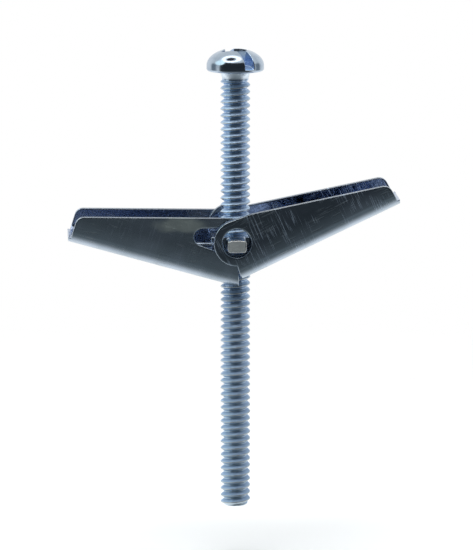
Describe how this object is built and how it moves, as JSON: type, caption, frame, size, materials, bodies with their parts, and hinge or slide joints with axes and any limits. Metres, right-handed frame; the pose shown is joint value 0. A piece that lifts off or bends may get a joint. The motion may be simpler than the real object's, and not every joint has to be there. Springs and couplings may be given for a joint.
{
  "type": "toggle bolt",
  "caption": "Spring-wing toggle bolt for hollow walls: a threaded machine screw through a trunnion nut with hinged sheet-metal wings that fold to pass a hole and spring open behind it.",
  "frame": {"origin": "on the screw's axis, in the plane of the head's underside", "axes": "+Z along the screw towards the head, +X towards the right wing's tip, Y along the wings' hinge axis, with the round-holed ear of the right wing on the -Y side"},
  "size_m": [0.0381, 0.009, 0.0533],
  "materials": {
    "screw_zinc": "bright blue-white zinc plate",
    "nut_zinc": "zinc plate, sheared ends",
    "wing_zinc": "zinc-plated pressed sheet, scuffed",
    "spring_steel": "drawn spring wire"
  },
  "bodies": {
    "screw": {"screw": "screw_zinc"},
    "nut": {"trunnion_nut": "nut_zinc", "torsion_spring": "spring_steel"},
    "wing_left": {"wing_left": "wing_zinc"},
    "wing_right": {"wing_right": "wing_zinc"}
  },
  "joints": [
    {"name": "nut_travel", "type": "slide", "parent": "screw", "child": "nut", "axis": [0, 0, 1], "range_m": [-0.0285, 0]},
    {"name": "wing_left_fold", "type": "hinge", "parent": "nut", "child": "wing_left", "pos_m": [0, 0, -0.0194], "axis": [0, 1, 0], "range_deg": [0, 80], "stiffness_Nm_per_rad": 0.006, "springref_deg": -45.84, "deforming": ["torsion_spring"]},
    {"name": "wing_right_fold", "type": "hinge", "parent": "nut", "child": "wing_right", "pos_m": [0, 0, -0.0194], "axis": [0, -1, 0], "range_deg": [0, 67], "stiffness_Nm_per_rad": 0.006, "springref_deg": -45.84, "deforming": ["torsion_spring"]}
  ]
}
